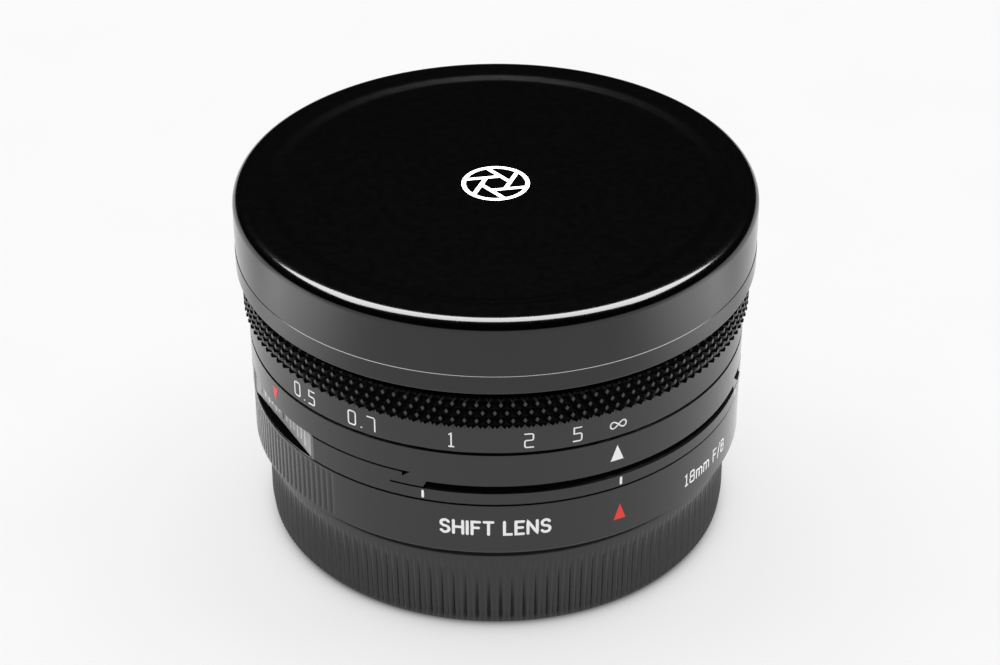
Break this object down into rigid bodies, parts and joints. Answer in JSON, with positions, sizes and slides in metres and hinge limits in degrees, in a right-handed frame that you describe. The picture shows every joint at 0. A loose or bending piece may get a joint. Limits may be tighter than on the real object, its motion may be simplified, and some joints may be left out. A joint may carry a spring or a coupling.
{
  "type": "wide shift prime camera lens",
  "caption": "Compact wide prime lens with a sideways shift stage, a turning ring, a knurled focus ring, a push-on front cap and a bayonet rear cap.",
  "frame": {"origin": "centre of the rear cap's underside, where the capped lens stands", "axes": "+Z along the optical axis towards the subject; the index marks face -Y and the shift scale faces -X"},
  "size_m": [0.0608, 0.0608, 0.0434],
  "materials": {
    "black_anodised": "satin black anodised",
    "cap_metal": "satin black anodised, finely turned",
    "cap_plastic": "moulded, fine matte",
    "chromed_brass": "satin chrome",
    "baffle_plastic": "flocked black",
    "steel": "machined",
    "black_steel": "blackened",
    "brass": "machined",
    "felt": "black felt",
    "bronze": "ground washer stock",
    "glass": "polished, multi-coated"
  },
  "bodies": {
    "mount_body": {"mount_body": "black_anodised", "bayonet_flange": "chromed_brass", "flange_screws": "steel", "rear_baffle": "baffle_plastic", "baffle_screws": "black_steel", "thrust_washer": "bronze", "detent_ball": "steel", "detent_spring": "steel", "detent_screw": "black_steel"},
    "rotator": {"rotator_ring": "black_anodised", "rotator_retainer": "black_anodised", "gib_strip": "brass", "gib_screws": "black_steel", "light_seal": "felt"},
    "shift_stage": {"shift_stage": "black_anodised", "focus_stop_pin": "steel", "guide_sleeve": "black_anodised", "guide_sleeve_screws": "steel", "guide_keys": "brass", "guide_key_screws": "steel"},
    "focus_ring": {"focus_ring": "black_anodised", "focus_nut": "brass", "focus_nut_screws": "steel"},
    "optical_barrel": {"focus_carrier": "black_anodised", "front_barrel": "black_anodised", "front_barrel_screws": "black_steel", "lens_cell": "black_anodised", "lens_cell_screws": "black_steel", "front_plate": "black_anodised", "front_element": "glass", "front_element_ring": "black_anodised", "second_element": "glass", "second_element_ring": "black_anodised", "third_element": "glass", "third_element_ring": "black_anodised", "stop_spacer": "black_anodised", "aperture_stop": "black_steel", "fourth_element": "glass", "fifth_element": "glass", "rear_spacer": "black_anodised", "rear_element": "glass", "rear_element_ring": "black_anodised"},
    "front_cap": {"front_cap": "cap_metal", "cap_felt": "felt"},
    "rear_cap": {"rear_cap": "cap_plastic"}
  },
  "joints": [
    {"name": "shift_turn", "type": "hinge", "parent": "mount_body", "child": "rotator", "pos_m": [0, 0, 0.0184], "axis": [0, 0, 1], "range_deg": [-90, 90]},
    {"name": "shift_slide", "type": "slide", "parent": "rotator", "child": "shift_stage", "axis": [0, 1, 0], "range_m": [-0.006, 0.006]},
    {"name": "focus_turn", "type": "hinge", "parent": "shift_stage", "child": "focus_ring", "pos_m": [0, 0, 0.0255], "axis": [0, 0, 1], "range_deg": [0, 84]},
    {"name": "focus_lift", "type": "slide", "parent": "shift_stage", "child": "optical_barrel", "axis": [0, 0, 1], "range_m": [0, 0.00075]},
    {"name": "front_cap_pull", "type": "slide", "parent": "optical_barrel", "child": "front_cap", "axis": [0, 0, 1], "range_m": [0, 0.02]},
    {"name": "rear_cap_twist", "type": "hinge", "parent": "mount_body", "child": "rear_cap", "pos_m": [0, 0, 0.0057], "axis": [0, 0, 1], "range_deg": [0, 60]}
  ],
  "couplings": [
    {"joint": "focus_lift", "follows": "focus_turn", "m_per_rad": 0.0005115}
  ]
}
